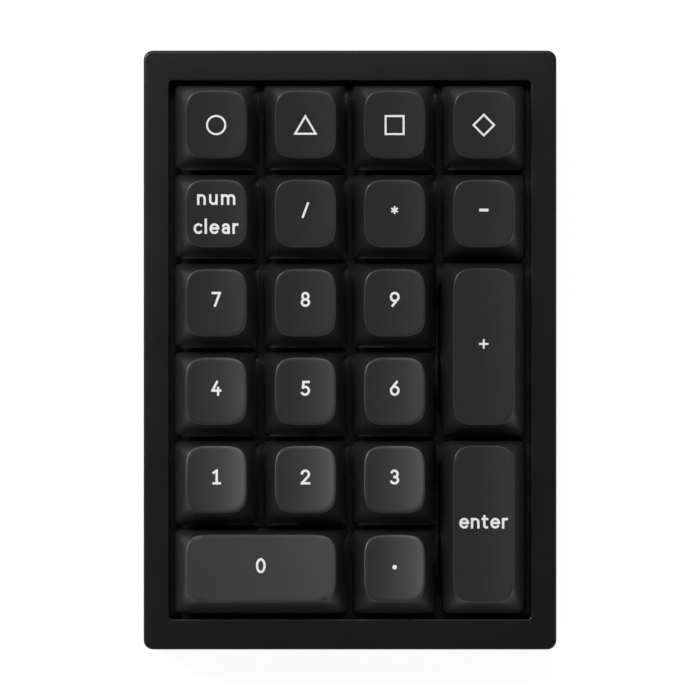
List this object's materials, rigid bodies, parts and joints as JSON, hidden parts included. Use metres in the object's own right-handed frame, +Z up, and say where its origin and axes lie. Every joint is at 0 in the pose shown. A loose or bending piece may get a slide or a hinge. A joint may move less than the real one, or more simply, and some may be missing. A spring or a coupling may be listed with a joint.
{
  "type": "numeric keypad",
  "caption": "Wired mechanical number pad: wedge-shaped aluminium case, recessed key field with double-height and double-width keys on plate-mounted switches, round rubber feet.",
  "frame": {"origin": "middle of the footprint, on the surface that the feet rest on", "axes": "+X to the right of the person typing, +Y towards the rear, where the socket is, +Z up"},
  "size_m": [0.0886, 0.1308, 0.0417],
  "materials": {
    "anodised_case": "fine bead-blasted black anodising, satin",
    "keycap_plastic": "moulded charcoal plastic, fine matt texture",
    "keycap_legend": "pale grey moulded-in legend",
    "switch_housing": "milky white moulded plastic",
    "switch_window": "clear moulded plastic",
    "switch_slider": "dark reddish-brown moulded plastic",
    "switch_plate": "black powder-coated steel",
    "circuit_board": "black solder mask on laminate",
    "foam": "black closed-cell foam",
    "rubber_feet": "black silicone rubber",
    "bright_steel": "plated steel",
    "copper": "bare copper alloy",
    "black_steel": "black oxide steel"
  },
  "bodies": {
    "case": {"top_case": "anodised_case", "bottom_case": "anodised_case", "switch_plate": "switch_plate", "plate_foam": "foam", "plate_gasket": "foam", "circuit_board": "circuit_board", "usb_c_port": "bright_steel", "switch_circle": "switch_housing", "switch_triangle": "switch_housing", "switch_square": "switch_housing", "switch_diamond": "switch_housing", "switch_num_clear": "switch_housing", "switch_divide": "switch_housing", "switch_multiply": "switch_housing", "switch_subtract": "switch_housing", "switch_7": "switch_housing", "switch_8": "switch_housing", "switch_9": "switch_housing", "switch_add": "switch_housing", "switch_4": "switch_housing", "switch_5": "switch_housing", "switch_6": "switch_housing", "switch_1": "switch_housing", "switch_2": "switch_housing", "switch_3": "switch_housing", "switch_enter": "switch_housing", "switch_0": "switch_housing", "switch_point": "switch_housing", "case_screw_front_left": "black_steel", "case_screw_front_right": "black_steel", "case_screw_rear_left": "black_steel", "case_screw_rear_right": "black_steel", "foot_front_left": "rubber_feet", "foot_front_right": "rubber_feet", "foot_rear_left": "rubber_feet", "foot_rear_right": "rubber_feet"},
    "key_circle": {"keycap_circle": "keycap_plastic"},
    "key_triangle": {"keycap_triangle": "keycap_plastic"},
    "key_square": {"keycap_square": "keycap_plastic"},
    "key_diamond": {"keycap_diamond": "keycap_plastic"},
    "key_num_clear": {"keycap_num_clear": "keycap_plastic"},
    "key_divide": {"keycap_divide": "keycap_plastic"},
    "key_multiply": {"keycap_multiply": "keycap_plastic"},
    "key_subtract": {"keycap_subtract": "keycap_plastic"},
    "key_7": {"keycap_7": "keycap_plastic"},
    "key_8": {"keycap_8": "keycap_plastic"},
    "key_9": {"keycap_9": "keycap_plastic"},
    "key_add": {"keycap_add": "keycap_plastic"},
    "key_4": {"keycap_4": "keycap_plastic"},
    "key_5": {"keycap_5": "keycap_plastic"},
    "key_6": {"keycap_6": "keycap_plastic"},
    "key_1": {"keycap_1": "keycap_plastic"},
    "key_2": {"keycap_2": "keycap_plastic"},
    "key_3": {"keycap_3": "keycap_plastic"},
    "key_enter": {"keycap_enter": "keycap_plastic"},
    "key_0": {"keycap_0": "keycap_plastic"},
    "key_point": {"keycap_point": "keycap_plastic"},
    "wire_add": {"stabiliser_wire_add": "black_steel"},
    "wire_enter": {"stabiliser_wire_enter": "black_steel"},
    "wire_0": {"stabiliser_wire_0": "black_steel"}
  },
  "joints": [
    {"name": "press_circle", "type": "slide", "parent": "case", "child": "key_circle", "axis": [0, 0.0906, -0.9959], "range_m": [0, 0.004], "stiffness_N_per_m": 75, "springref_m": -0.0045},
    {"name": "press_triangle", "type": "slide", "parent": "case", "child": "key_triangle", "axis": [0, 0.0906, -0.9959], "range_m": [0, 0.004], "stiffness_N_per_m": 75, "springref_m": -0.0045},
    {"name": "press_square", "type": "slide", "parent": "case", "child": "key_square", "axis": [0, 0.0906, -0.9959], "range_m": [0, 0.004], "stiffness_N_per_m": 75, "springref_m": -0.0045},
    {"name": "press_diamond", "type": "slide", "parent": "case", "child": "key_diamond", "axis": [0, 0.0906, -0.9959], "range_m": [0, 0.004], "stiffness_N_per_m": 75, "springref_m": -0.0045},
    {"name": "press_num_clear", "type": "slide", "parent": "case", "child": "key_num_clear", "axis": [0, 0.0906, -0.9959], "range_m": [0, 0.004], "stiffness_N_per_m": 75, "springref_m": -0.0045},
    {"name": "press_divide", "type": "slide", "parent": "case", "child": "key_divide", "axis": [0, 0.0906, -0.9959], "range_m": [0, 0.004], "stiffness_N_per_m": 75, "springref_m": -0.0045},
    {"name": "press_multiply", "type": "slide", "parent": "case", "child": "key_multiply", "axis": [0, 0.0906, -0.9959], "range_m": [0, 0.004], "stiffness_N_per_m": 75, "springref_m": -0.0045},
    {"name": "press_subtract", "type": "slide", "parent": "case", "child": "key_subtract", "axis": [0, 0.0906, -0.9959], "range_m": [0, 0.004], "stiffness_N_per_m": 75, "springref_m": -0.0045},
    {"name": "press_7", "type": "slide", "parent": "case", "child": "key_7", "axis": [0, 0.0906, -0.9959], "range_m": [0, 0.004], "stiffness_N_per_m": 75, "springref_m": -0.0045},
    {"name": "press_8", "type": "slide", "parent": "case", "child": "key_8", "axis": [0, 0.0906, -0.9959], "range_m": [0, 0.004], "stiffness_N_per_m": 75, "springref_m": -0.0045},
    {"name": "press_9", "type": "slide", "parent": "case", "child": "key_9", "axis": [0, 0.0906, -0.9959], "range_m": [0, 0.004], "stiffness_N_per_m": 75, "springref_m": -0.0045},
    {"name": "press_add", "type": "slide", "parent": "case", "child": "key_add", "axis": [0, 0.0906, -0.9959], "range_m": [0, 0.004], "stiffness_N_per_m": 75, "springref_m": -0.0045},
    {"name": "press_4", "type": "slide", "parent": "case", "child": "key_4", "axis": [0, 0.0906, -0.9959], "range_m": [0, 0.004], "stiffness_N_per_m": 75, "springref_m": -0.0045},
    {"name": "press_5", "type": "slide", "parent": "case", "child": "key_5", "axis": [0, 0.0906, -0.9959], "range_m": [0, 0.004], "stiffness_N_per_m": 75, "springref_m": -0.0045},
    {"name": "press_6", "type": "slide", "parent": "case", "child": "key_6", "axis": [0, 0.0906, -0.9959], "range_m": [0, 0.004], "stiffness_N_per_m": 75, "springref_m": -0.0045},
    {"name": "press_1", "type": "slide", "parent": "case", "child": "key_1", "axis": [0, 0.0906, -0.9959], "range_m": [0, 0.004], "stiffness_N_per_m": 75, "springref_m": -0.0045},
    {"name": "press_2", "type": "slide", "parent": "case", "child": "key_2", "axis": [0, 0.0906, -0.9959], "range_m": [0, 0.004], "stiffness_N_per_m": 75, "springref_m": -0.0045},
    {"name": "press_3", "type": "slide", "parent": "case", "child": "key_3", "axis": [0, 0.0906, -0.9959], "range_m": [0, 0.004], "stiffness_N_per_m": 75, "springref_m": -0.0045},
    {"name": "press_enter", "type": "slide", "parent": "case", "child": "key_enter", "axis": [0, 0.0906, -0.9959], "range_m": [0, 0.004], "stiffness_N_per_m": 75, "springref_m": -0.0045},
    {"name": "press_0", "type": "slide", "parent": "case", "child": "key_0", "axis": [0, 0.0906, -0.9959], "range_m": [0, 0.004], "stiffness_N_per_m": 75, "springref_m": -0.0045},
    {"name": "press_point", "type": "slide", "parent": "case", "child": "key_point", "axis": [0, 0.0906, -0.9959], "range_m": [0, 0.004], "stiffness_N_per_m": 75, "springref_m": -0.0045},
    {"name": "turn_wire_add", "type": "hinge", "parent": "case", "child": "wire_add", "pos_m": [0.0196, -0.00085, 0.02106], "axis": [0, 0.9959, 0.0906], "range_deg": [0, 25.3]},
    {"name": "turn_wire_enter", "type": "hinge", "parent": "case", "child": "wire_enter", "pos_m": [0.0196, -0.03879, 0.01761], "axis": [0, 0.9959, 0.0906], "range_deg": [0, 25.3]},
    {"name": "turn_wire_0", "type": "hinge", "parent": "case", "child": "wire_0", "pos_m": [-0.01905, -0.03934, 0.01756], "axis": [1, 0, 0], "range_deg": [0, 25.3]}
  ],
  "couplings": [
    {"joint": "turn_wire_add", "follows": "press_add", "rad_per_m": 109.57},
    {"joint": "turn_wire_enter", "follows": "press_enter", "rad_per_m": 109.57},
    {"joint": "turn_wire_0", "follows": "press_0", "rad_per_m": 109.57}
  ]
}
